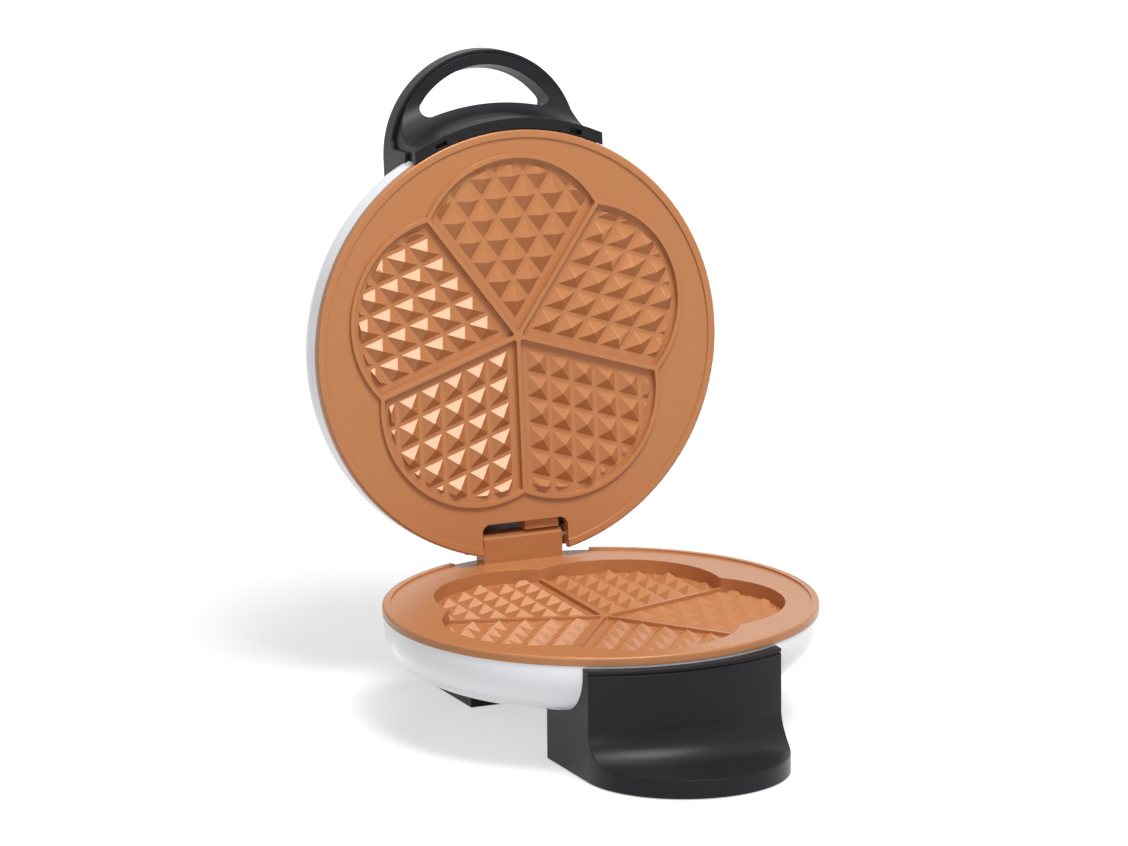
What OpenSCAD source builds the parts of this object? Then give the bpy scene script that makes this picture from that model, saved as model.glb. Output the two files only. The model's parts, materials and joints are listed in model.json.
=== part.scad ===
// Electric waffle maker with two round cast plates of five petals each.
// Millimetres. The origin is on the table, under the common axis of the plates.
// +Z is up and -Y is the front, where the grips are. The lid stands open on its stop.

/* [Plates] */
// Outer diameter of both cooking plates
plate_d = 200; // [194:1:220]
// Height of the rim wall that shows between plate and shell
rim_h = 4; // [3:0.5:6]
// Width of the flat bead round each plate
bead_w = 3.6; // [2:0.1:5]
// Drop from the bead to the flange inside it
flange_drop = 0.8; // [0.4:0.1:1.2]
// Metal left under the mould floor
plate_floor = 2.8; // [2:0.1:4]
// Gap between the beads when the lid is shut
shut_gap = 0.4; // [0.3:0.1:0.8]

/* [Waffle pattern] */
// Distance from the plate's radius to the reach of a petal
petal_inset = 17; // [14:0.5:20]
// Depth of the notch between two petals
cusp_depth = 11.8; // [9:0.2:15]
// Shift of the pattern towards the front
pattern_shift = 4; // [0:0.5:5]
// Depth of the lower mould, bead to valley floor
mould_depth = 7.5; // [6.5:0.1:9]
// Depth of the upper mould, bead to valley floor
field_depth = 2; // [1.6:0.1:3]
// Width of the dividers and of the upper ridges
divider_w = 2; // [1.4:0.1:3]
// Drop from the lower bead to the tops of its dividers
divider_drop = 5.6; // [4.5:0.1:6]
// Height of the upper ridges above their bead
ridge_proud = 0.8; // [0.3:0.1:0.8]
// Distance between pyramids along a divider
pyramid_pitch = 12; // [11:0.1:13]
// Height of a pyramid
pyramid_h = 3.6; // [2.5:0.1:4]
// Flat valley between two pyramids
valley_w = 1.9; // [1:0.1:3]

/* [Shells] */
// Wall of both moulded shells
shell_wall = 2.4; // [2:0.1:3]
// Lower bead down to the underside of the base shell
base_depth = 30; // [28:0.5:34]
// Lower bead up to the shoulder of the lid
lid_depth = 30; // [28:0.5:34]
// Corner radius of the base shell
base_corner = 22; // [16:0.5:24]
// Corner radius of the lid
lid_corner = 19; // [15:0.5:20]
// Rise of the lid's crown over its shoulder
crown_rise = 1.6; // [0.5:0.1:3]

/* [Stand] */
// Height of the lower bead above the table
rim_height = 57.5; // [54:0.5:64]
// Distance that each foot reaches in under the plate
foot_inset = 53; // [45:1:60]
// Reach of the rear heel beyond the plate's edge
heel_overhang = 26; // [18:1:34]
// Thickness of the rubber pads that show under the feet
pad_proud = 0.6; // [0.4:0.1:1.5]

/* [Base grip] */
// Half the width of the base grip
grip_half = 47.8; // [42:0.2:50]
// Depth of the lip and of the grip's top in front of the plate
grip_stand_off = 5; // [3.5:0.1:7]
// Drop from the bead to the lip
lip_drop = 5; // [4.5:0.1:8]
// Thickness of the lip
lip_h = 1.6; // [1:0.1:3]
// Height of the upright band round the toe
toe_h = 8.7; // [6:0.1:12]
// Radius of the cove between the grip's wall and its toe
toe_cove = 15; // [10:0.5:18]
// Distance that the toe reaches beyond the plate's edge
toe_overhang = 41; // [34:1:46]

/* [Lid handle] */
// Half the width of the handle's face
handle_half = 45.5; // [42:0.1:48]
// Distance that the handle reaches beyond the plate's edge
handle_overhang = 32.5; // [30:0.1:40]
// Height of the loop's underside over the lower bead
loop_z = 30.4; // [28:0.2:34]
// Thickness of the loop with its cover
loop_h = 11; // [8:0.2:14]
// Radius of the cove between the handle's wall and its loop
loop_cove = 17; // [10:0.5:20]
// Wall of the cover round the loop
cover_wall = 1.7; // [1.4:0.1:2.4]
// Width of the bar round the finger opening
loop_bar = 5.8; // [5:0.1:10]
// Distance from the plate's edge to the near edge of the finger opening
finger_gap = 8.4; // [7.5:0.1:12]
// Slope of the finger opening through the loop
finger_slope = 15; // [8:1:18]

/* [Hinge] */
// Distance of the hinge axis inside the plate's edge
hinge_inset = 7.8; // [7.4:0.1:8.2]
// Height of the hinge axis over the lower bead
hinge_rise = 7.9; // [7.6:0.1:8.4]
// Angle between shut and open
open_angle = 95; // [90:1:97]
// Diameter of the hinge pin
pin_d = 4; // [3:0.1:4.2]
// Width of the hinge tower on the lower plate
tower_w = 39.6; // [34:0.2:42]
// Gap between the tower and each cheek of the upper plate
cheek_gap = 1.7; // [0.5:0.1:3]

/* [Hidden] */
$fn = 96;

copper = [0.76, 0.52, 0.36];
white = [0.91, 0.92, 0.95];
black = [0.17, 0.17, 0.18];
steel = [0.72, 0.73, 0.75];
eps = 0.01;
seat_gap = 0.15;
run_gap = 0.05;

plate_r = plate_d / 2;
flange_r = plate_r - bead_w;
rim_edge = 1;
skirt_r = plate_r - 3.1;
shell_r = plate_r - 0.4;
shell_in = shell_r - shell_wall;

petals = 5;
petal_angle = 360 / petals;
lobe_reach = plate_r - petal_inset;
cusp_r = lobe_reach - cusp_depth;
cusp_flat = cusp_r * cos(petal_angle / 2);
half_chord = cusp_r * sin(petal_angle / 2);
lobe_bulge = lobe_reach - cusp_flat;
lobe_r = (half_chord * half_chord + lobe_bulge * lobe_bulge) / (2 * lobe_bulge);
lobe_at = lobe_reach - lobe_r;
cusp_fillet = 4;
fillet_bite = 0.05;
hub_r = 2.6;
first_pyramid = 10.2;
rows = floor((lobe_reach - first_pyramid) / pyramid_pitch);
pitch_across = pyramid_pitch * sin(petal_angle);
pyramid_half = (pitch_across - valley_w) / 2;
field_margin = 3;
root = 0.6;

hinge_y = plate_r - hinge_inset;
hinge_z = hinge_rise;
pin_r = pin_d / 2;
tower_front = hinge_y - pin_r - 1.5;
tower_back = plate_r - 2.5;
tower_top = hinge_z + pin_r + 2.1;
tower_bevel = 2;
cheek_in = tower_w / 2 + cheek_gap;
cheek_w = 6;
cheek_out = cheek_in + cheek_w;
cheek_r = pin_r + 2.8;
notch_y = hinge_y - 9.3;
notch_round = 4;
notch_l = plate_r - notch_y + 1;
relief_half = cheek_out + 7.7;
relief_drop = 1.6;
lug_out = 18;
lug_in = 1;
lug_y = hinge_y - 4.7;
lug_top = tower_top - 0.2;
clip_t = 0.8;
clip_r = pin_r + 1.7;
pin_half = cheek_out + 2;
clip_pocket = 3;
slot_half = pin_half + 1.5;
slot_top = tower_top + 3.2;

upper_z = shut_gap;
upper_back = upper_z + field_depth + 3;
lower_back = -mould_depth - plate_floor;

heater_inset = 42;
heater_ring = plate_r - heater_inset;
heater_r = 3.3;
heater_boss = 6;
heater_boss_h = 3;
heater_sweep = 320;
terminal_h = 5;
shield_inset = 5.9;
shield_r = skirt_r - shield_inset;
shield_t = 0.8;
lower_heater_room = 8.2;
upper_heater_room = 10.1;
flange_back = -rim_h - flange_drop - 1;
lower_shield_z = lower_back - lower_heater_room;
upper_shield_z = upper_back + upper_heater_room;

boss_at = lobe_reach - 1;
boss_r = 4;
boss_angles = [18, 162, 230, 310];
front_boss_inset = 22;
rear_boss_inset = 28;
front_boss_at = [33, front_boss_inset - plate_r];
rear_boss_at = [40, plate_r - rear_boss_inset];
lid_bosses = [[-front_boss_at.x, front_boss_at.y], front_boss_at,
              [-rear_boss_at.x, rear_boss_at.y], rear_boss_at];
boss_bore = 8;
screw_bite = 7;
screw_r = 1.7;
screw_head_r = 3.4;
screw_head_h = 2.4;
screw_play = 0.3;
head_play = 0.4;
post_r = 5;
base_floor_z = -base_depth + shell_wall;
base_seat_z = lower_shield_z - shield_t - 3.7;

crown_r = (plate_r * plate_r + crown_rise * crown_rise) / (2 * crown_rise);
lid_top_z = upper_z + lid_depth + crown_rise;
lid_corner_r = shell_r - lid_corner;
lid_seat_z = lid_top_z - 3;

table_z = -rim_height;
foot_z = table_z + pad_proud;
toe_z = foot_z + toe_h;
grip_top = -lip_drop - lip_h - seat_gap;
grip_seam = 0.6;
grip_face_r = plate_r + grip_stand_off;
toe_reach = plate_r + toe_overhang;
toe_centre = toe_reach - grip_half;
foot_inner_y = plate_r - foot_inset;
foot_half = grip_half - 3;
foot_wall = 3.5;
foot_column_r = 7;
foot_roof_z = -base_depth - 3.5;
foot_screw_x = 26;
foot_screw_y = plate_r - 34;
foot_screw_grip = 6;
heel_reach = plate_r + heel_overhang;
heel_round = 12;
pad_half = 24;
pad_w = 10;
pad_sink = 1.2;
front_pad_y = 18 - toe_reach;
rear_pad_y = heel_reach - 14;

gland_drop = 6.2;
gland_z = lower_back - gland_drop;
gland_r = 5;
gland_bore = 3.5;
gland_out = 9;
gland_collar = 2;
heel_top = gland_z - gland_r - gland_collar - 0.5;
block_clearance = 1.3;
block_pitch = 10;
block_h = lower_shield_z - shield_t - block_clearance - base_floor_z;
vents = 7;
vent_pitch = 9;
vent_w = 3;
vent_l = 34;

handle_reach = plate_r + handle_overhang;
handle_centre = handle_reach - handle_half;
finger_near = plate_r + finger_gap;
band_in = plate_r + 0.3;
band_out = plate_r + 5.5;
band_h = 3;
band_z = upper_z + 0.4;
band_half = handle_half + 1.5;
slot_at = 33.8;
face_back = 28 - plate_r;
cover_h = 3.4;
cover_half = handle_half + cover_wall;
cover_back = face_back + cover_wall;
cover_top = loop_z + loop_h;
cover_low = loop_z + 0.6;
cover_round = 3;
handle_split = cover_top - cover_h;
skirt_front = face_back - 20.6;
skirt_z = 13;
skirt_fillet = 5;
finger_round = 4;
lens_r = 3.6;
lens_flange = 1.4;
lens_proud = 1;
lens_x = 9;
lens_inset = 50;
lens_y = lens_inset - plate_r;
handle_screw_x = 20;
handle_screw_y = 11 - plate_r;
handle_seat_z = upper_shield_z + shield_t + screw_head_h + 0.9;

// Height of the lid's outer surface at a distance r from the plate axis.
function lid_top(r) = lid_top_z - crown_r + sqrt(crown_r * crown_r - r * r);

module base_frame() {
    translate([0, 0, rim_height]) children();
}

module lid_frame() {
    base_frame()
        translate([0, hinge_y, hinge_z])
            rotate([-open_angle, 0, 0])
                translate([0, -hinge_y, -hinge_z]) children();
}

// Outline of the five petals, moved outwards by grow.
module petal_outline(grow = 0) {
    fillet_at = lobe_at * cos(petal_angle / 2)
        + sqrt(pow(lobe_r + cusp_fillet, 2) - pow(lobe_at * sin(petal_angle / 2), 2));
    lobe_point = lobe_at * [cos(petal_angle / 2), sin(petal_angle / 2)];
    for (i = [0:petals - 1]) {
        rotate(i * petal_angle + 90) {
            rotate(petal_angle / 2) translate([lobe_at, 0]) circle(lobe_r + grow, $fn = 180);
            difference() {
                polygon([[0, 0], [lobe_point.x, -lobe_point.y], [fillet_at, 0], lobe_point]);
                translate([fillet_at - fillet_bite, 0]) circle(cusp_fillet - grow, $fn = 48);
            }
        }
    }
}

module divider_lines(width, reach) {
    for (i = [0:petals - 1]) {
        rotate(i * petal_angle + 90) translate([0, -width / 2]) square([reach, width]);
    }
    circle(hub_r);
}

// One family of roof-shaped bars; two families crossed make pyramids.
module roof_bars(turn, shift) {
    rotate(turn)
        for (i = [0:rows - 1]) {
            translate([-pyramid_pitch, shift * (first_pyramid + i * pyramid_pitch) * sin(petal_angle), 0])
                rotate([90, 0, 90])
                    linear_extrude(cusp_r + 3 * pyramid_pitch)
                        polygon([[-pyramid_half, -root], [pyramid_half, -root], [pyramid_half, 0],
                                 [0, pyramid_h], [-pyramid_half, 0]]);
        }
}

// Rhombic pyramids of one petal between the dividers at 0 and petal_angle.
module petal_pyramids() {
    intersection() {
        roof_bars(0, 1);
        roof_bars(petal_angle, -1);
    }
}

// All pyramids, standing on z = 0 and cut off short of the petal outline.
module pyramid_field() {
    intersection() {
        for (i = [0:petals - 1]) {
            rotate(i * petal_angle + 90) petal_pyramids();
        }
        translate([0, 0, -root]) linear_extrude(pyramid_h + 2 * root) petal_outline(-field_margin);
    }
}

module rim_profile(height) {
    difference() {
        square([plate_r, height]);
        translate([plate_r - rim_edge, height - rim_edge])
            difference() {
                square(2 * rim_edge);
                circle(rim_edge);
            }
    }
}

module boss_ring() {
    for (angle = boss_angles) {
        translate([boss_at * cos(angle), boss_at * sin(angle) - pattern_shift, 0]) children();
    }
}

module lid_boss_ring() {
    for (at = lid_bosses) {
        translate([at.x, at.y, 0]) children();
    }
}

module heater_tube(radius) {
    rotate(90 + (360 - heater_sweep) / 2)
        rotate_extrude(angle = heater_sweep)
            translate([heater_ring, 0]) circle(radius, $fn = 32);
}

module heater(up) {
    heater_tube(heater_r);
    for (side = [-1, 1]) {
        rotate(90 + side * (360 - heater_sweep) / 2)
            translate([heater_ring, 0, up > 0 ? 0 : -terminal_h - heater_r])
                cylinder(h = terminal_h + heater_r, r = heater_r, $fn = 32);
    }
}

module hinge_bore(length, radius) {
    translate([-length / 2, hinge_y, hinge_z]) rotate([0, 90, 0]) cylinder(h = length, r = radius);
}

module hinge_tower() {
    translate([-tower_w / 2, 0, 0])
        rotate([90, 0, 90])
            linear_extrude(tower_w)
                polygon([[tower_front, -rim_h], [tower_back, -rim_h], [tower_back, tower_top],
                         [tower_front + tower_bevel, tower_top],
                         [tower_front, tower_top - tower_bevel]]);
}

// Shallow step in the lower bead that lets the lid's rim swing past.
module hinge_relief() {
    relief_angle = asin(relief_half / plate_r);
    intersection() {
        rotate(90 - relief_angle) rotate_extrude(angle = 2 * relief_angle)
            translate([plate_r / 2, -relief_drop]) square([plate_r, 2 * relief_drop]);
        translate([-plate_r, hinge_y - 7, -relief_drop]) cube([plate_d, plate_r, 2 * relief_drop]);
    }
}

module lower_plate() {
    color(copper) base_frame() difference() {
        union() {
            difference() {
                union() {
                    translate([0, 0, -rim_h]) rotate_extrude() rim_profile(rim_h);
                    translate([0, 0, lower_back]) cylinder(h = -lower_back - rim_h + eps, r = skirt_r);
                }
                translate([0, 0, -flange_drop]) cylinder(h = flange_drop + 1, r = flange_r);
                translate([0, -pattern_shift, -mould_depth])
                    linear_extrude(mould_depth + 1) petal_outline();
                translate([0, 0, lower_back - 1])
                    linear_extrude(flange_back - lower_back + 1)
                        difference() {
                            circle(skirt_r - 3);
                            translate([0, -pattern_shift]) petal_outline(plate_floor);
                        }
                hinge_relief();
            }
            translate([0, -pattern_shift, -mould_depth - root])
                linear_extrude(mould_depth + root - divider_drop)
                    divider_lines(divider_w, cusp_r + 1);
            translate([0, -pattern_shift, -mould_depth]) pyramid_field();
            translate([0, 0, lower_back - heater_boss_h])
                linear_extrude(heater_boss_h + eps)
                    difference() {
                        circle(heater_ring + heater_boss);
                        circle(heater_ring - heater_boss);
                    }
            boss_ring() translate([0, 0, lower_shield_z])
                cylinder(h = flange_back - lower_shield_z + eps, r = boss_r);
            hinge_tower();
        }
        translate([0, 0, lower_back - heater_boss_h - 1]) heater_tube(heater_r + seat_gap);
        boss_ring() translate([0, 0, lower_shield_z - 1])
            cylinder(h = boss_bore + 1, r = screw_r + run_gap, $fn = 32);
        hinge_bore(tower_w + 2, pin_r + run_gap);
    }
}

module upper_plate() {
    color(copper) lid_frame() difference() {
        union() {
            difference() {
                union() {
                    translate([0, 0, upper_z + rim_h]) mirror([0, 0, 1])
                        rotate_extrude() rim_profile(rim_h);
                    translate([0, 0, upper_z + rim_h - eps])
                        cylinder(h = upper_back - upper_z - rim_h + eps, r = skirt_r);
                }
                translate([0, 0, upper_z - 1]) cylinder(h = flange_drop + 1, r = flange_r);
                translate([0, -pattern_shift, upper_z - 1]) linear_extrude(field_depth + 1) petal_outline();
            }
            translate([0, -pattern_shift, upper_z - ridge_proud])
                linear_extrude(ridge_proud + field_depth + root)
                    upper_ridges();
            translate([0, -pattern_shift, upper_z + field_depth]) mirror([0, 0, 1]) pyramid_field();
            translate([0, 0, upper_back - eps])
                linear_extrude(heater_boss_h)
                    difference() {
                        circle(heater_ring + heater_boss);
                        circle(heater_ring - heater_boss);
                    }
            lid_boss_ring() translate([0, 0, upper_back - 1])
                cylinder(h = upper_shield_z - upper_back + 1, r = boss_r);
            hinge_cheeks();
        }
        hinge_notch();
        translate([0, 0, upper_back + heater_boss_h + 1]) heater_tube(heater_r + seat_gap);
        lid_boss_ring() translate([0, 0, upper_shield_z - boss_bore])
            cylinder(h = boss_bore + 1, r = screw_r + run_gap, $fn = 32);
        hinge_bore(2 * cheek_out + 2, pin_r + run_gap);
        for (side = [-1, 1]) {
            translate([side * (cheek_out + clip_pocket / 2), 0, 0]) hinge_bore(clip_pocket, clip_r + head_play);
        }
    }
    color(copper) lid_frame() stop_lug();
}

module upper_ridges() {
    difference() {
        petal_outline(divider_w);
        petal_outline();
    }
    intersection() {
        divider_lines(divider_w, cusp_r + 1);
        petal_outline(eps);
    }
}

module hinge_cheeks() {
    for (side = [-1, 1]) {
        mirror([side < 0 ? 1 : 0, 0, 0]) translate([cheek_in, 0, 0]) {
            translate([0, hinge_y, hinge_z]) rotate([0, 90, 0]) cylinder(h = cheek_w, r = cheek_r);
            translate([0, hinge_y - cheek_r, upper_z + flange_drop + 1])
                cube([cheek_w, 2 * cheek_r - 1.2, hinge_z - upper_z - flange_drop - 1]);
        }
    }
}

module hinge_notch() {
    translate([0, 0, upper_z - 1]) linear_extrude(slot_top - upper_z + 1) {
        translate([-cheek_in + notch_round, notch_y]) square([2 * (cheek_in - notch_round), notch_l]);
        translate([-cheek_in, notch_y + notch_round]) square([2 * cheek_in, notch_l]);
        for (side = [-1, 1]) {
            translate([side * (cheek_in - notch_round), notch_y + notch_round]) circle(notch_round, $fn = 48);
        }
    }
}

module stop_lug() {
    translate([lug_in, notch_y - 1, upper_z + field_depth + 1.6])
        cube([lug_out - lug_in, lug_y - notch_y + 1, lug_top - upper_z - field_depth - 1.6]);
}

module lower_heater() {
    color(steel) base_frame() translate([0, 0, lower_back - heater_boss_h - 1]) heater(-1);
}

module upper_heater() {
    color(steel) lid_frame() translate([0, 0, upper_back + heater_boss_h + 1]) heater(1);
}

// Pan that covers the heater and bears on the screw bosses and on the plate's back.
module shield_pan(depth) {
    difference() {
        rotate_extrude() {
            square([shield_r, shield_t]);
            translate([shield_r - shield_t, -depth]) square([shield_t, depth + eps]);
        }
        for (side = [-1, 1]) {
            rotate(90 + side * (360 - heater_sweep) / 2)
                translate([heater_ring, 0, -1]) cylinder(h = 3, r = heater_r + screw_play, $fn = 32);
        }
    }
}

module lower_shield() {
    color(steel) base_frame() difference() {
        translate([0, 0, lower_shield_z]) mirror([0, 0, 1])
            shield_pan(flange_back - seat_gap - lower_shield_z);
        boss_ring() translate([0, 0, lower_shield_z - 2])
            cylinder(h = 4, r = screw_r + screw_play, $fn = 32);
    }
}

module upper_shield() {
    color(steel) lid_frame() difference() {
        translate([0, 0, upper_shield_z]) shield_pan(upper_shield_z - upper_back - seat_gap);
        lid_boss_ring() translate([0, 0, upper_shield_z - 2])
            cylinder(h = 4, r = screw_r + screw_play, $fn = 32);
        translate([-slot_half, notch_y - 4, 0]) cube([2 * slot_half, plate_r, lid_depth]);
    }
}

module thermostat() {
    color(steel) base_frame() translate([0, -pattern_shift, lower_back]) mirror([0, 0, 1]) {
        cylinder(h = 5, r = 8);
        translate([-2, -10, 0]) cube([4, 20, 1]);
    }
}

module thermal_fuse() {
    color(steel) base_frame()
        translate([-11, 26, lower_back - 2.3]) rotate([0, 90, 0]) cylinder(h = 22, r = 2.2);
}

// Round bowl profile with a corner radius, from the open edge at 0 down to -depth.
module bowl_profile(radius, depth, corner) {
    translate([0, -depth]) square([radius - corner, depth]);
    translate([0, corner - depth]) square([radius, depth - corner]);
    intersection() {
        translate([radius - corner, corner - depth]) circle(corner, $fn = 128);
        translate([0, -depth]) square([radius, depth]);
    }
}

module base_solid(inset = 0) {
    translate([0, 0, -rim_h + max(-inset, 0)])
        rotate_extrude($fn = 180)
            bowl_profile(shell_r - inset, base_depth - rim_h - inset, base_corner - inset);
}

module lid_solid(inset = 0) {
    depth = lid_top_z - upper_z - rim_h - inset;
    translate([0, 0, upper_z + rim_h])
        rotate_extrude($fn = 180)
            intersection() {
                mirror([0, 1]) bowl_profile(shell_r - inset, depth, lid_corner - inset);
                translate([0, depth - crown_r]) circle(crown_r, $fn = 720);
            }
}

module lower_shell() {
    color(white) base_frame() difference() {
        union() {
            difference() {
                base_solid();
                base_solid(shell_wall);
                translate([0, 0, -rim_h - eps]) cylinder(h = 2 * eps + 0.1, r = shell_in);
            }
            intersection() {
                boss_ring() translate([0, 0, -base_depth])
                    cylinder(h = lower_shield_z - shield_t + base_depth, r = post_r);
                base_solid(1);
            }
            for (x = [-foot_screw_x, foot_screw_x]) for (y = [-foot_screw_y, foot_screw_y]) {
                translate([x, y, base_floor_z - 1]) cylinder(h = foot_screw_grip + 1, r = boss_r);
            }
        }
        boss_ring() {
            translate([0, 0, -base_depth - 1]) cylinder(h = base_depth, r = screw_r + screw_play, $fn = 32);
            translate([0, 0, -base_depth - 1])
                cylinder(h = base_seat_z + base_depth + 1, r = screw_head_r + head_play, $fn = 48);
        }
        for (x = [-foot_screw_x, foot_screw_x]) for (y = [-foot_screw_y, foot_screw_y]) {
            translate([x, y, -base_depth - 1])
                cylinder(h = foot_screw_grip + 2, r = screw_r + run_gap, $fn = 32);
        }
        vent_slots();
        gland_tube(-base_corner / 2, gland_out, gland_r + seat_gap);
    }
}

module vent_slots() {
    for (i = [0:vents - 1]) {
        translate([(i - (vents - 1) / 2) * vent_pitch, 0, -base_depth - 1])
            linear_extrude(shell_wall + 2) {
                square([vent_w, vent_l], center = true);
                for (end = [-1, 1]) {
                    translate([0, end * vent_l / 2]) circle(vent_w / 2, $fn = 32);
                }
            }
    }
}

module gland_tube(from, to, radius) {
    translate([0, shell_r + from, gland_z]) rotate([-90, 0, 0]) cylinder(h = to - from, r = radius);
}

// Strain relief for the mains lead; its collar follows the curve of the shell.
module cord_gland() {
    color(black) base_frame() difference() {
        union() {
            gland_tube(-shell_wall - 3, gland_out, gland_r);
            difference() {
                gland_tube(-base_corner / 2, gland_collar, gland_r + gland_collar);
                base_solid(-seat_gap);
            }
        }
        gland_tube(-base_corner, gland_out + 1, gland_bore);
    }
}

module terminal_block() {
    color(white) base_frame() translate([-1.5 * block_pitch - 1, 34, base_floor_z]) difference() {
        cube([3 * block_pitch + 2, block_pitch + 2, block_h]);
        for (i = [0:2]) {
            translate([block_pitch * i + 6, 6, block_h - 4]) cylinder(h = 5, r = 2, $fn = 32);
        }
    }
}

module base_screw(i) {
    angle = boss_angles[i - 1];
    color(steel) base_frame()
        translate([boss_at * cos(angle), boss_at * sin(angle) - pattern_shift, base_seat_z]) {
            translate([0, 0, -screw_head_h]) cylinder(h = screw_head_h, r = screw_head_r, $fn = 48);
            cylinder(h = lower_shield_z + screw_bite - base_seat_z, r = screw_r, $fn = 32);
        }
}

module foot_screw(x, y) {
    color(steel) base_frame() translate([x, y, -base_depth - foot_screw_grip]) {
        translate([0, 0, -1]) cylinder(h = 2 * foot_screw_grip + 1, r = screw_r, $fn = 32);
        translate([0, 0, -screw_head_h]) cylinder(h = screw_head_h, r = screw_head_r, $fn = 48);
    }
}

module foot_screw_holes(y) {
    for (x = [-foot_screw_x, foot_screw_x]) {
        translate([x, y, table_z - 1])
            cylinder(h = rim_height + 1 - base_depth - foot_screw_grip, r = screw_head_r + head_play, $fn = 48);
        translate([x, y, table_z - 1]) cylinder(h = rim_height, r = screw_r + screw_play, $fn = 32);
    }
}

// Hollow in the underside of a foot, open downwards, with a column left round each screw.
module foot_hollow(from, to) {
    translate([0, 0, table_z - 1])
        linear_extrude(foot_roof_z - table_z + 1)
            difference() {
                intersection() {
                    translate([-foot_half + foot_wall, from]) square([2 * (foot_half - foot_wall), to - from]);
                    circle(grip_face_r - foot_wall, $fn = 180);
                }
                for (side = [-1, 1]) {
                    translate([side * foot_screw_x, sign(from) * foot_screw_y]) circle(foot_column_r);
                }
            }
}

// Plan of a grip: straight flanks behind a half round.
module grip_plan(half, centre, back_y) {
    translate([-half, -centre]) square([2 * half, centre + back_y]);
    intersection() {
        translate([0, -centre]) circle(half, $fn = 180);
        translate([-2 * half, -centre - 2 * half]) square([4 * half, 2 * half]);
    }
}

// Revolved section of a concave grip: an upright wall, a cove and a level shelf.
module scoop_section(wall_r, cove_r, reach, under_z, shelf_z, top_z, step = 0) {
    difference() {
        union() {
            translate([0, under_z]) square([reach, shelf_z - under_z]);
            translate([0, under_z]) square([wall_r + cove_r, shelf_z - under_z + cove_r]);
            translate([0, under_z]) square([wall_r, top_z - under_z - step]);
            translate([0, under_z]) square([wall_r - step, top_z - under_z]);
        }
        translate([wall_r + cove_r - fillet_bite, shelf_z + cove_r - fillet_bite]) circle(cove_r);
    }
}

// Concave grip that leaves the lip upright and sweeps out to the half-round toe.
module front_grip() {
    color(black) base_frame() difference() {
        intersection() {
            rotate_extrude()
                scoop_section(grip_face_r, toe_cove, toe_reach + 1, foot_z, toe_z, grip_top, grip_seam);
            translate([0, 0, foot_z]) linear_extrude(grip_top - foot_z)
                grip_plan(grip_half, toe_centre, -foot_inner_y);
        }
        base_solid(-seat_gap);
        foot_screw_holes(-foot_screw_y);
        foot_hollow(-plate_r, -foot_inner_y - foot_wall);
        pad_slot(front_pad_y);
    }
}

module pad_slot(y) {
    translate([0, y, foot_z - 1]) linear_extrude(1 + pad_sink) pad_outline(0.2);
}

module pad_outline(grow = 0) {
    square([2 * pad_half, pad_w + 2 * grow], center = true);
    for (side = [-1, 1]) {
        translate([side * pad_half, 0]) circle(pad_w / 2 + grow, $fn = 48);
    }
}

module pad(y) {
    color(black) base_frame() translate([0, y, table_z]) linear_extrude(pad_proud + pad_sink - seat_gap)
        pad_outline();
}

module grip_lip() {
    color(black) base_frame() translate([0, 0, -lip_drop - lip_h]) linear_extrude(lip_h)
        intersection() {
            difference() {
                circle(grip_face_r, $fn = 180);
                circle(shell_r + seat_gap, $fn = 180);
            }
            translate([-grip_half, -plate_d]) square([2 * grip_half, plate_d]);
        }
}

module rear_foot() {
    color(black) base_frame() difference() {
        translate([0, 0, foot_z]) linear_extrude(heel_top - foot_z) rear_outline();
        base_solid(-seat_gap);
        foot_screw_holes(foot_screw_y);
        foot_hollow(foot_inner_y + foot_wall, plate_r);
        pad_slot(rear_pad_y);
    }
}

module rear_outline() {
    translate([-foot_half, foot_inner_y]) square([2 * foot_half, heel_reach - foot_inner_y - heel_round]);
    translate([-foot_half + heel_round, foot_inner_y])
        square([2 * (foot_half - heel_round), heel_reach - foot_inner_y]);
    for (side = [-1, 1]) {
        translate([side * (foot_half - heel_round), heel_reach - heel_round]) circle(heel_round);
    }
}

module hinge_pin() {
    color(steel) base_frame() hinge_bore(2 * pin_half, pin_r);
}

module hinge_clip(side) {
    color(steel) base_frame()
        translate([side * (cheek_out + 0.3 + clip_t / 2), hinge_y, hinge_z]) rotate([0, 90, 0])
            difference() {
                cylinder(h = clip_t, r = clip_r, center = true);
                cylinder(h = 2 * clip_t, r = pin_r + run_gap / 2, center = true);
            }
}

module upper_shell() {
    color(white) lid_frame() difference() {
        union() {
            difference() {
                lid_solid();
                translate([0, 0, -eps]) lid_solid(shell_wall);
            }
            intersection() {
                union() {
                    lid_boss_ring() translate([0, 0, upper_shield_z + shield_t])
                        cylinder(h = lid_depth, r = post_r);
                    for (x = [-handle_screw_x, handle_screw_x]) {
                        translate([x, handle_screw_y, handle_seat_z]) cylinder(h = lid_depth, r = post_r);
                    }
                }
                lid_solid(1);
            }
        }
        translate([-slot_half, notch_y - 1, 0]) cube([2 * slot_half, plate_r, slot_top]);
        lid_boss_ring() {
            cylinder(h = 2 * lid_depth, r = screw_r + screw_play, $fn = 32);
            translate([0, 0, lid_seat_z]) cylinder(h = lid_depth, r = screw_head_r + head_play, $fn = 48);
        }
        for (x = [-lens_x, lens_x]) {
            translate([x, lens_y, lid_depth - 6]) cylinder(h = 20, r = lens_r + seat_gap);
        }
        handle_screw_holes(screw_r + screw_play);
    }
}

module shell_screw(i) {
    color(steel) lid_frame() translate([lid_bosses[i - 1].x, lid_bosses[i - 1].y, 0]) {
        translate([0, 0, lid_seat_z]) cylinder(h = screw_head_h, r = screw_head_r, $fn = 48);
        translate([0, 0, upper_shield_z - screw_bite])
            cylinder(h = lid_seat_z + eps - upper_shield_z + screw_bite, r = screw_r, $fn = 32);
    }
}

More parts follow.
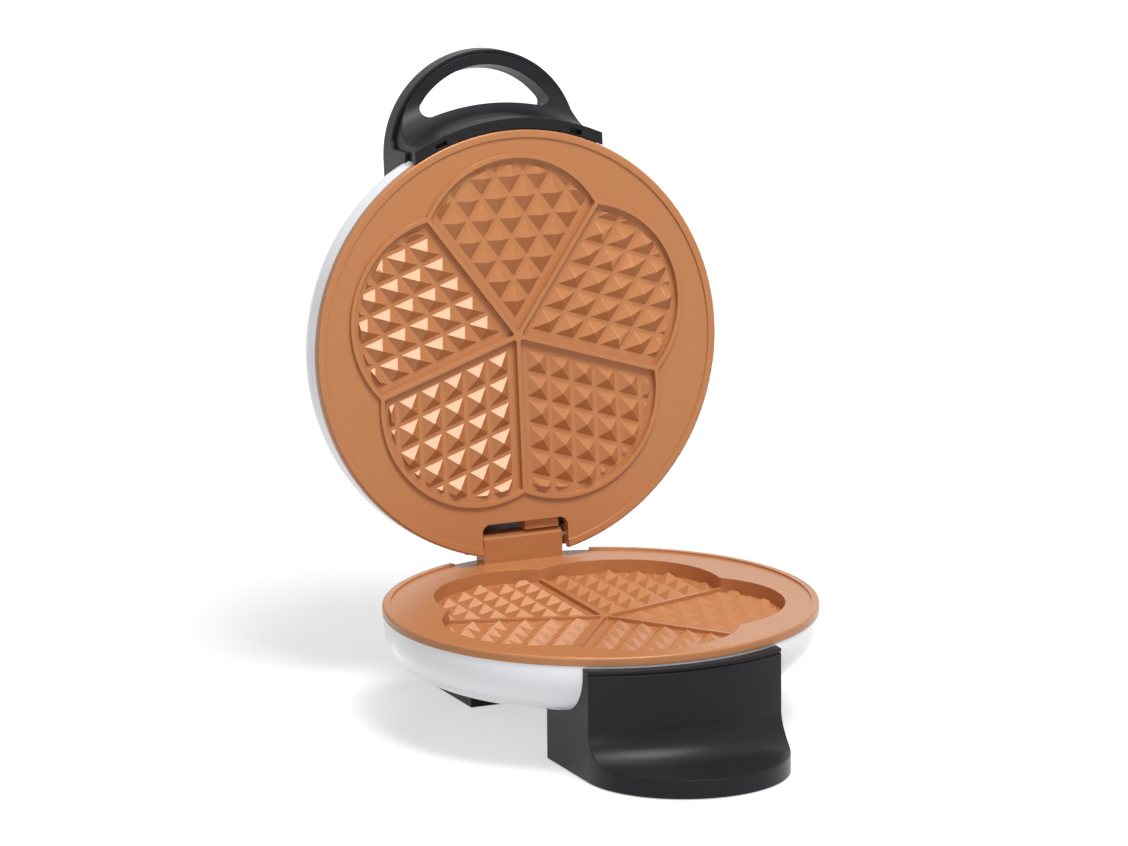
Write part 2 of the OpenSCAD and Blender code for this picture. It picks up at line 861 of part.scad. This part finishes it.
// Lamp window through the lid, held by a flange under the shell.
module lens(x, tint) {
    top = lid_top(norm([x, lens_y]));
    color(tint) lid_frame() translate([x, lens_y, 0]) {
        translate([0, 0, top - shell_wall - 2 * lens_flange])
            cylinder(h = shell_wall + 2 * lens_flange + lens_proud, r = lens_r);
        translate([0, 0, top - shell_wall - lens_flange - seat_gap])
            cylinder(h = lens_flange, r = lens_r + lens_flange);
    }
}

module handle_band() {
    color(black) lid_frame() translate([0, 0, band_z]) linear_extrude(band_h) difference() {
        intersection() {
            difference() {
                circle(band_out, $fn = 180);
                circle(band_in, $fn = 180);
            }
            translate([-band_half, -plate_d]) square([2 * band_half, plate_d]);
        }
        for (side = [-1, 1]) {
            rotate(side * asin(slot_at / (plate_r + 2)))
                translate([-3, -plate_r - 3.2]) square([6, 2.3]);
        }
    }
}

// Finger opening between the loop and an arc round the plate, with filleted corners.
module finger_outline() {
    far_r = handle_half - loop_bar;
    hub = [0, -handle_centre];
    fillet_y = (pow(far_r - finger_round, 2) - pow(finger_near + finger_round, 2)
        - handle_centre * handle_centre) / (2 * handle_centre);
    fillet_at = [sqrt(pow(finger_near + finger_round, 2) - fillet_y * fillet_y), fillet_y];
    near_end = fillet_at * finger_near / (finger_near + finger_round);
    far_end = hub + (fillet_at - hub) * far_r / (far_r - finger_round);
    chord = far_end - near_end;
    outward = [-chord.y, chord.x] * sign(-chord.y);
    difference() {
        translate(hub) circle(far_r, $fn = 180);
        circle(finger_near, $fn = 180);
        for (side = [0, 1]) {
            mirror([side, 0]) polygon([near_end, far_end, far_end + 4 * outward, near_end + 4 * outward]);
        }
    }
    for (side = [0, 1]) {
        mirror([side, 0]) translate(fillet_at) circle(finger_round + fillet_bite, $fn = 48);
    }
}

// Finger opening, sloped so that its far side lies nearer to the plate.
module finger_hole() {
    translate([0, -finger_near, loop_z]) rotate([-finger_slope, 0, 0])
        translate([0, finger_near, -loop_cove]) linear_extrude(2 * loop_cove + loop_h) finger_outline();
}

// Concave face that leaves the lid's band upright and sweeps out to the loop.
module handle_face() {
    face_low = band_z + band_h + seat_gap;
    color(black) lid_frame() difference() {
        intersection() {
            mirror([0, 0, 1]) rotate_extrude()
                scoop_section(band_out, loop_cove, handle_reach + 1, -handle_split, -loop_z, -face_low);
            translate([0, 0, face_low]) linear_extrude(handle_split - face_low)
                grip_plan(handle_half, handle_centre, face_back);
        }
        lid_solid(-seat_gap);
        cylinder(h = rim_h + upper_z + seat_gap, r = band_in);
        finger_hole();
        handle_screw_holes(screw_r + run_gap);
        lid_boss_ring() cylinder(h = 2 * lid_depth, r = screw_head_r + head_play, $fn = 48);
    }
}

// Half section of the cover, with its outer top edge rounded.
module cover_section() {
    translate([0, skirt_z]) square([cover_half - cover_round, cover_top - skirt_z]);
    translate([0, skirt_z]) square([cover_half, cover_top - cover_round - skirt_z]);
    intersection() {
        translate([cover_half - cover_round, cover_top - cover_round]) circle(cover_round, $fn = 48);
        square([cover_half, cover_top]);
    }
}

// Outline of the cover from the side: its skirts reach down to the lid behind the loop.
module cover_side() {
    reach = handle_centre + cover_half + 1;
    difference() {
        union() {
            translate([-reach, 0]) square([reach + cover_back, cover_top - 2 * cover_round]);
            translate([-reach, 0]) square([reach + cover_back - 2 * cover_round, cover_top]);
            translate([cover_back - 2 * cover_round, cover_top - 2 * cover_round]) circle(2 * cover_round);
        }
        translate([-reach - 1, -1]) square([reach + 1 + skirt_front - skirt_fillet, cover_low + 1]);
        translate([-reach - 1, -1]) square([reach + 1 + skirt_front, cover_low - skirt_fillet + 1]);
        translate([skirt_front - skirt_fillet, cover_low - skirt_fillet]) circle(skirt_fillet, $fn = 48);
    }
}

// Outer cover of the handle: a tray over the loop whose skirts hug the lid.
module handle_cover() {
    color(black) lid_frame() difference() {
        intersection() {
            union() {
                translate([0, -handle_centre, 0]) rotate(180) rotate_extrude(angle = 180) cover_section();
                for (side = [0, 1]) {
                    mirror([side, 0, 0]) translate([0, cover_back, 0]) rotate([90, 0, 0])
                        linear_extrude(handle_centre + cover_back) cover_section();
                }
            }
            translate([-cover_half - 1, 0, 0]) rotate([90, 0, 90])
                linear_extrude(2 * cover_half + 2) cover_side();
        }
        linear_extrude(handle_split + seat_gap)
            grip_plan(handle_half + seat_gap, handle_centre, face_back + seat_gap);
        lid_solid(-seat_gap);
        finger_hole();
    }
}

module handle_screw_holes(radius) {
    for (x = [-handle_screw_x, handle_screw_x]) {
        translate([x, handle_screw_y, handle_seat_z - 1])
            cylinder(h = handle_split - handle_seat_z, r = radius, $fn = 32);
    }
}

module handle_screw(x) {
    color(steel) lid_frame() translate([x, handle_screw_y, handle_seat_z]) {
        translate([0, 0, -screw_head_h]) cylinder(h = screw_head_h, r = screw_head_r, $fn = 48);
        cylinder(h = handle_split - handle_seat_z - 2, r = screw_r, $fn = 32);
    }
}

lower_plate();
lower_heater();
lower_shield();
thermostat();
thermal_fuse();
lower_shell();
terminal_block();
cord_gland();
base_screw(1);  // base_screw_1
base_screw(2);  // base_screw_2
base_screw(3);  // base_screw_3
base_screw(4);  // base_screw_4
front_grip();
grip_lip();
foot_screw(-foot_screw_x, -foot_screw_y);  // grip_screw_1
foot_screw(foot_screw_x, -foot_screw_y);  // grip_screw_2
pad(front_pad_y);  // front_pad
rear_foot();
foot_screw(-foot_screw_x, foot_screw_y);  // heel_screw_1
foot_screw(foot_screw_x, foot_screw_y);  // heel_screw_2
pad(rear_pad_y);  // rear_pad
hinge_pin();
hinge_clip(-1);  // hinge_clip_1
hinge_clip(1);  // hinge_clip_2
upper_plate();
upper_heater();
upper_shield();
upper_shell();
shell_screw(1);  // shell_screw_1
shell_screw(2);  // shell_screw_2
shell_screw(3);  // shell_screw_3
shell_screw(4);  // shell_screw_4
lens(-lens_x, [0.8, 0.2, 0.15]);  // power_lens
lens(lens_x, [0.3, 0.7, 0.3]);  // ready_lens
handle_band();
handle_face();
handle_cover();
handle_screw(-handle_screw_x);  // handle_screw_1
handle_screw(handle_screw_x);  // handle_screw_2
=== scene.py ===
"""Looks of the electric waffle maker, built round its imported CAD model."""

from __future__ import annotations

import json
import logging
import math
from dataclasses import dataclass, field
from enum import Enum
from typing import Sequence

import bmesh
import bpy
from mathutils import Matrix, Vector

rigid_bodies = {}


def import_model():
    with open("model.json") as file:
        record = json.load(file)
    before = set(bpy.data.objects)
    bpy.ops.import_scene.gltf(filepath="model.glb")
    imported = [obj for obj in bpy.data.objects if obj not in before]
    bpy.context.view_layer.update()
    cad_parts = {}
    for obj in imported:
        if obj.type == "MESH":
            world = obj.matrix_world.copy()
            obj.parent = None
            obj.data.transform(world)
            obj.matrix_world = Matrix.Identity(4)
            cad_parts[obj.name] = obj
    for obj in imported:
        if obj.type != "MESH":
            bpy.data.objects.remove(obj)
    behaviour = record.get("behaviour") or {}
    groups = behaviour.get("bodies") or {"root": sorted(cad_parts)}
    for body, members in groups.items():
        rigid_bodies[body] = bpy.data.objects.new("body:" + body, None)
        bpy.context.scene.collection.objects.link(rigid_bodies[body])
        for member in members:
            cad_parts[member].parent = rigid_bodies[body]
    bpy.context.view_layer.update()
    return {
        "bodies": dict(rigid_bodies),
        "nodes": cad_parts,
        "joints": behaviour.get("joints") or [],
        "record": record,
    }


LOG = logging.getLogger("waffle_maker")
Colour = tuple[float, float, float]
SENSOR_MM = 36.0
GRAIN_DETAIL = 3.0
GRAIN_ROUGHNESS = 0.6
GRAIN_MIDDLE = 0.5
DRIFT_SPREAD = 1.0
EDGE_SAMPLES = 6


class Body(Enum):
    """The two rigid bodies of the waffle maker."""

    BASE = "base"
    LID = "lid"


# Shader groups


class ShaderGroups:
    """Shader node groups that several finishes share, each made once."""

    def __init__(self) -> None:
        """Starts with no group made."""
        self._made: dict[str, bpy.types.ShaderNodeTree] = {}

    def grain(self) -> bpy.types.ShaderNodeTree:
        """Fine grain of a coated or moulded surface.

        Returns:
            A group with Scale and Spread inputs and a Mask and a Height output.
        """
        if "grain" in self._made:
            return self._made["grain"]
        tree = bpy.data.node_groups.new("surface_grain", "ShaderNodeTree")
        for name, way in (
            ("Scale", "INPUT"),
            ("Spread", "INPUT"),
            ("Mask", "OUTPUT"),
            ("Height", "OUTPUT"),
        ):
            tree.interface.new_socket(name, in_out=way, socket_type="NodeSocketFloat")
        nodes, links = tree.nodes, tree.links
        start = nodes.new("NodeGroupInput")
        end = nodes.new("NodeGroupOutput")
        place = nodes.new("ShaderNodeTexCoord")
        noise = nodes.new("ShaderNodeTexNoise")
        noise.inputs["Detail"].default_value = GRAIN_DETAIL
        noise.inputs["Roughness"].default_value = GRAIN_ROUGHNESS
        links.new(place.outputs["Object"], noise.inputs["Vector"])
        links.new(start.outputs["Scale"], noise.inputs["Scale"])
        centred = nodes.new("ShaderNodeMath")
        centred.operation = "SUBTRACT"
        centred.inputs[1].default_value = GRAIN_MIDDLE
        links.new(noise.outputs["Fac"], centred.inputs[0])
        spread = nodes.new("ShaderNodeMath")
        spread.operation = "MULTIPLY_ADD"
        spread.use_clamp = True
        spread.inputs[2].default_value = GRAIN_MIDDLE
        links.new(centred.outputs[0], spread.inputs[0])
        links.new(start.outputs["Spread"], spread.inputs[1])
        links.new(spread.outputs[0], end.inputs["Mask"])
        links.new(noise.outputs["Fac"], end.inputs["Height"])
        self._made["grain"] = tree
        return tree


# Finishes


@dataclass(frozen=True)
class Finish:
    """A surface finish with a fine grain, a slow drift of tone and softened edges.

    Colours are linear; lengths are metres; scales are noise cells per metre.
    """

    name: str
    light: Colour
    dark: Colour
    metallic: float = 0.0
    roughness: float = 0.4
    roughness_spread: float = 0.06
    grain_scale: float = 900.0
    grain_spread: float = 2.0
    bump: float = 0.1
    bump_depth: float = 0.00005
    drift_scale: float = 12.0
    drift: float = 0.3
    edge_radius: float = 0.0005
    coat: float = 0.0
    coat_roughness: float = 0.1
    specular: float = 0.5

    def make(self, groups: ShaderGroups) -> bpy.types.Material:
        """Builds the material.

        Args:
            groups: the shared shader groups.

        Returns:
            The new material.
        """
        material = bpy.data.materials.new(self.name)
        material.use_nodes = True
        tree = material.node_tree
        nodes, links = tree.nodes, tree.links
        shader = next(n for n in nodes if n.type == "BSDF_PRINCIPLED")
        shader.inputs["Metallic"].default_value = self.metallic
        shader.inputs["Coat Weight"].default_value = self.coat
        shader.inputs["Coat Roughness"].default_value = self.coat_roughness
        shader.inputs["Specular IOR Level"].default_value = self.specular

        fine = nodes.new("ShaderNodeGroup")
        fine.node_tree = groups.grain()
        fine.inputs["Scale"].default_value = self.grain_scale
        fine.inputs["Spread"].default_value = self.grain_spread
        slow = nodes.new("ShaderNodeGroup")
        slow.node_tree = groups.grain()
        slow.inputs["Scale"].default_value = self.drift_scale
        slow.inputs["Spread"].default_value = DRIFT_SPREAD

        share = nodes.new("ShaderNodeMix")
        share.data_type = "FLOAT"
        share.inputs["Factor"].default_value = self.drift
        links.new(fine.outputs["Mask"], share.inputs["A"])
        links.new(slow.outputs["Mask"], share.inputs["B"])
        tone = nodes.new("ShaderNodeMix")
        tone.data_type = "RGBA"
        tone.inputs["A"].default_value = (*self.dark, 1.0)
        tone.inputs["B"].default_value = (*self.light, 1.0)
        links.new(share.outputs["Result"], tone.inputs["Factor"])
        links.new(tone.outputs["Result"], shader.inputs["Base Color"])

        rough = nodes.new("ShaderNodeMapRange")
        rough.inputs["To Min"].default_value = self.roughness - self.roughness_spread
        rough.inputs["To Max"].default_value = self.roughness + self.roughness_spread
        links.new(share.outputs["Result"], rough.inputs["Value"])
        links.new(rough.outputs["Result"], shader.inputs["Roughness"])

        edge = nodes.new("ShaderNodeBevel")
        edge.samples = EDGE_SAMPLES
        edge.inputs["Radius"].default_value = self.edge_radius
        bump = nodes.new("ShaderNodeBump")
        bump.inputs["Strength"].default_value = self.bump
        bump.inputs["Distance"].default_value = self.bump_depth
        links.new(fine.outputs["Height"], bump.inputs["Height"])
        links.new(edge.outputs["Normal"], bump.inputs["Normal"])
        links.new(bump.outputs["Normal"], shader.inputs["Normal"])
        return material


COPPER = Finish(
    "satin_copper_coat",
    light=(0.55, 0.232, 0.09),
    dark=(0.42, 0.168, 0.061),
    metallic=0.05,
    roughness=0.26,
    specular=0.3,
    grain_scale=2600.0,
    grain_spread=1.2,
    bump=0.15,
    bump_depth=0.00004,
    edge_radius=0.00035,
)
WHITE = Finish(
    "white_gloss_moulding",
    light=(0.93, 0.94, 0.97),
    dark=(0.90, 0.91, 0.95),
    roughness=0.16,
    roughness_spread=0.03,
    grain_scale=400.0,
    bump=0.02,
    edge_radius=0.0006,
    coat=0.8,
    coat_roughness=0.06,
)
BLACK = Finish(
    "satin_black_moulding",
    light=(0.018, 0.018, 0.021),
    dark=(0.011, 0.011, 0.0132),
    roughness=0.33,
    roughness_spread=0.05,
    specular=0.14,
    grain_scale=3200.0,
    grain_spread=2.0,
    bump=0.35,
    bump_depth=0.00005,
    edge_radius=0.0008,
)
RUBBER = Finish(
    "foot_rubber",
    light=(0.03, 0.03, 0.03),
    dark=(0.018, 0.018, 0.018),
    roughness=0.8,
    grain_scale=1800.0,
    bump=0.3,
)
STEEL = Finish(
    "plated_steel",
    light=(0.62, 0.63, 0.65),
    dark=(0.46, 0.47, 0.49),
    metallic=1.0,
    roughness=0.32,
    grain_scale=1500.0,
    bump=0.15,
    edge_radius=0.0002,
)
SHEET = Finish(
    "pressed_sheet",
    light=(0.55, 0.56, 0.57),
    dark=(0.42, 0.43, 0.44),
    metallic=1.0,
    roughness=0.4,
    grain_scale=700.0,
    bump=0.1,
    edge_radius=0.0003,
)
SHEATH = Finish(
    "heater_sheath",
    light=(0.30, 0.28, 0.26),
    dark=(0.18, 0.165, 0.15),
    metallic=1.0,
    roughness=0.5,
    grain_scale=1200.0,
    bump=0.2,
)
CERAMIC = Finish(
    "terminal_ceramic",
    light=(0.72, 0.70, 0.64),
    dark=(0.62, 0.60, 0.54),
    roughness=0.6,
    grain_scale=1500.0,
    bump=0.2,
)
RED_LENS = Finish(
    "red_lens",
    light=(0.55, 0.02, 0.015),
    dark=(0.40, 0.012, 0.01),
    roughness=0.12,
    bump=0.02,
    coat=0.6,
    edge_radius=0.0005,
)
GREEN_LENS = Finish(
    "green_lens",
    light=(0.03, 0.34, 0.06),
    dark=(0.02, 0.24, 0.04),
    roughness=0.12,
    bump=0.02,
    coat=0.6,
    edge_radius=0.0005,
)


class Palette:
    """Makes each finish's material once and dresses pieces with it."""

    def __init__(self) -> None:
        """Starts with no material made."""
        self.groups = ShaderGroups()
        self._made: dict[str, bpy.types.Material] = {}

    def material(self, finish: Finish) -> bpy.types.Material:
        """The material of a finish, made on first use.

        Args:
            finish: the finish to make.

        Returns:
            Its material.
        """
        if finish.name not in self._made:
            self._made[finish.name] = finish.make(self.groups)
        return self._made[finish.name]

    def dress(self, piece: bpy.types.Object, finish: Finish) -> None:
        """Gives every material slot of a piece one finish.

        Args:
            piece: a CAD node or a new piece.
            finish: the finish that it gets.
        """
        if not piece.material_slots:
            piece.data.materials.append(None)
        for slot in piece.material_slots:
            slot.material = self.material(finish)


# Camera and studio


@dataclass(frozen=True)
class PhotoCamera:
    """The photograph's viewpoint, solved from the plates' rims.

    Angles are in degrees and lengths in metres.
    """

    azimuth: float = -23.6357
    elevation: float = 14.0405
    roll: float = -0.4158
    distance: float = 5.7914
    target: Colour = (-0.017743, 0.0, 0.143397)
    focal_px: float = 12721.8
    picture_width: int = 1128
    near: float = 0.1
    far: float = 50.0

    def place(self) -> bpy.types.Object:
        """Creates the camera and makes it the scene's camera.

        Returns:
            The camera object.
        """
        a, e, r = (math.radians(v) for v in (self.azimuth, self.elevation, self.roll))
        back = Vector(
            (math.sin(a) * math.cos(e), -math.cos(a) * math.cos(e), math.sin(e))
        )
        right = Vector((math.cos(a), math.sin(a), 0.0))
        up = back.cross(right)
        side = right * math.cos(r) + up * math.sin(r)
        top = up * math.cos(r) - right * math.sin(r)
        data = bpy.data.cameras.new("photo_camera")
        data.sensor_width = SENSOR_MM
        data.lens = self.focal_px * SENSOR_MM / self.picture_width
        data.clip_start = self.near
        data.clip_end = self.far
        camera = bpy.data.objects.new("photo_camera", data)
        bpy.context.scene.collection.objects.link(camera)
        turn = Matrix((side, top, back)).transposed().to_4x4()
        place = Vector(self.target) + back * self.distance
        camera.matrix_world = Matrix.Translation(place) @ turn
        bpy.context.scene.camera = camera
        return camera


@dataclass(frozen=True)
class Lamp:
    """A soft box. Place and aim are in metres, power in watts."""

    name: str
    place: Colour
    aim: Colour
    width: float
    height: float
    power: float

    def hang(self) -> None:
        """Creates the lamp."""
        data = bpy.data.lights.new(self.name, "AREA")
        data.shape = "RECTANGLE"
        data.size = self.width
        data.size_y = self.height
        data.energy = self.power
        lamp = bpy.data.objects.new(self.name, data)
        bpy.context.scene.collection.objects.link(lamp)
        lamp.location = self.place
        look = Vector(self.aim) - Vector(self.place)
        lamp.rotation_euler = look.to_track_quat("-Z", "Y").to_euler()


@dataclass
class Studio:
    """White sweep, even surroundings and soft boxes."""

    floor_size: float = 12.0
    ambient: float = 0.04
    floor_tone: float = 0.6
    floor_roughness: float = 0.9
    floor_specular: float = 0.1
    lift_near: float = 0.58
    lift_far: float = 1.0
    sweep: tuple[float, float] = (0.4, 1.4)
    lamps: Sequence[Lamp] = field(
        default_factory=lambda: (
            Lamp("key", (0.15, -0.95, 1.95), (0.0, 0.0, 0.12), 1.0, 0.9, 46.0),
            Lamp("overhead", (-0.1, 0.1, 2.2), (0.0, 0.0, 0.1), 1.0, 0.9, 10.0),
            Lamp("side_left", (-1.3, -1.9, 0.7), (0.0, 0.0, 0.12), 0.8, 0.8, 10.0),
            Lamp("fill_right", (1.7, -1.7, 0.9), (0.0, 0.0, 0.12), 0.9, 1.2, 2.0),
        )
    )

    def build(self) -> None:
        """Builds the floor, the world and the lamps."""
        self._floor()
        self._world()
        for lamp in self.lamps:
            lamp.hang()
        view = bpy.context.scene.view_settings
        view.view_transform = "Standard"

    @staticmethod
    def _seen(nodes: bpy.types.Nodes, links: bpy.types.NodeLinks) -> bpy.types.NodeSocket:
        """A value of 1 for camera, glossy and transmission rays, and 0 for the rest.

        Args:
            nodes: the nodes of the tree that gets it.
            links: the links of that tree.

        Returns:
            The socket with the value.
        """
        path = nodes.new("ShaderNodeLightPath")
        first = nodes.new("ShaderNodeMath")
        first.operation = "MAXIMUM"
        links.new(path.outputs["Is Camera Ray"], first.inputs[0])
        links.new(path.outputs["Is Glossy Ray"], first.inputs[1])
        second = nodes.new("ShaderNodeMath")
        second.operation = "MAXIMUM"
        links.new(first.outputs[0], second.inputs[0])
        links.new(path.outputs["Is Transmission Ray"], second.inputs[1])
        return second.outputs[0]

    def _floor(self) -> None:
        """Builds the white floor, which keeps the object's shadow."""
        mesh = bpy.data.meshes.new("studio_floor")
        form = bmesh.new()
        bmesh.ops.create_grid(form, x_segments=1, y_segments=1, size=self.floor_size / 2)
        form.to_mesh(mesh)
        form.free()
        floor = bpy.data.objects.new("studio_floor", mesh)
        bpy.context.scene.collection.objects.link(floor)
        material = bpy.data.materials.new("floor_white")
        material.use_nodes = True
        nodes, links = material.node_tree.nodes, material.node_tree.links
        shader = next(n for n in nodes if n.type == "BSDF_PRINCIPLED")
        shader.inputs["Base Color"].default_value = (self.floor_tone,) * 3 + (1.0,)
        shader.inputs["Roughness"].default_value = self.floor_roughness
        shader.inputs["Specular IOR Level"].default_value = self.floor_specular
        shader.inputs["Emission Color"].default_value = (1.0, 1.0, 1.0, 1.0)
        place = nodes.new("ShaderNodeTexCoord")
        away = nodes.new("ShaderNodeVectorMath")
        away.operation = "LENGTH"
        links.new(place.outputs["Object"], away.inputs[0])
        rise = nodes.new("ShaderNodeMapRange")
        rise.inputs["From Min"].default_value, rise.inputs["From Max"].default_value = self.sweep
        rise.inputs["To Min"].default_value = self.lift_near
        rise.inputs["To Max"].default_value = self.lift_far
        links.new(away.outputs["Value"], rise.inputs["Value"])
        lift = nodes.new("ShaderNodeMath")
        lift.operation = "MULTIPLY"
        links.new(self._seen(nodes, links), lift.inputs[0])
        links.new(rise.outputs["Result"], lift.inputs[1])
        links.new(lift.outputs[0], shader.inputs["Emission Strength"])
        floor.data.materials.append(material)

    def _world(self) -> None:
        """Makes surroundings that look white and light the object evenly."""
        world = bpy.data.worlds.new("studio_white")
        bpy.context.scene.world = world
        world.use_nodes = True
        nodes, links = world.node_tree.nodes, world.node_tree.links
        sky = next(n for n in nodes if n.type == "BACKGROUND")
        sky.inputs["Color"].default_value = (1.0, 1.0, 1.0, 1.0)
        level = nodes.new("ShaderNodeMapRange")
        level.inputs["To Min"].default_value = self.ambient
        level.inputs["To Max"].default_value = 1.0
        links.new(self._seen(nodes, links), level.inputs["Value"])
        links.new(level.outputs["Result"], sky.inputs["Strength"])


# Sub-assemblies


@dataclass(frozen=True)
class SubAssembly:
    """The CAD nodes of one body, which keep their shape, and the finishes they get."""

    body: Body
    dressing: Sequence[tuple[Finish, Sequence[str]]]

    def dress(self, frame: dict, palette: Palette) -> None:
        """Dresses the nodes.

        Args:
            palette: the maker of the materials.
        """
        for finish, names in self.dressing:
            for name in names:
                palette.dress(frame["nodes"][name], finish)
                LOG.info("%s on %s: %s", name, self.body.value, finish.name)


def numbered(kind: str, count: int) -> tuple[str, ...]:
    """The names of a node that is repeated.

    Args:
        kind: the name that the nodes share.
        count: how many there are.

    Returns:
        The names, numbered from 1.
    """
    return tuple(f"{kind}_{number}" for number in range(1, count + 1))


BASE = SubAssembly(
    Body.BASE,
    (
        (COPPER, ("lower_plate",)),
        (WHITE, ("lower_shell",)),
        (BLACK, ("front_grip", "grip_lip", "rear_foot", "cord_gland")),
        (RUBBER, ("front_pad", "rear_pad")),
        (SHEATH, ("lower_heater",)),
        (SHEET, ("lower_shield",)),
        (STEEL, ("thermostat", "thermal_fuse", "hinge_pin")),
        (STEEL, numbered("hinge_clip", 2) + numbered("base_screw", 4)),
        (STEEL, numbered("grip_screw", 2) + numbered("heel_screw", 2)),
        (CERAMIC, ("terminal_block",)),
    ),
)
LID = SubAssembly(
    Body.LID,
    (
        (COPPER, ("upper_plate",)),
        (WHITE, ("upper_shell",)),
        (BLACK, ("handle_band", "handle_face", "handle_cover")),
        (SHEATH, ("upper_heater",)),
        (SHEET, ("upper_shield",)),
        (STEEL, numbered("shell_screw", 4) + numbered("handle_screw", 2)),
        (RED_LENS, ("power_lens",)),
        (GREEN_LENS, ("ready_lens",)),
    ),
)


def main() -> None:
    """Builds the scene in order."""
    logging.basicConfig(level=logging.INFO, format="%(name)s: %(message)s")
    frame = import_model()
    PhotoCamera().place()
    Studio().build()
    palette = Palette()
    for assembly in (BASE, LID):
        assembly.dress(frame, palette)


if __name__ == "__main__":
    main()
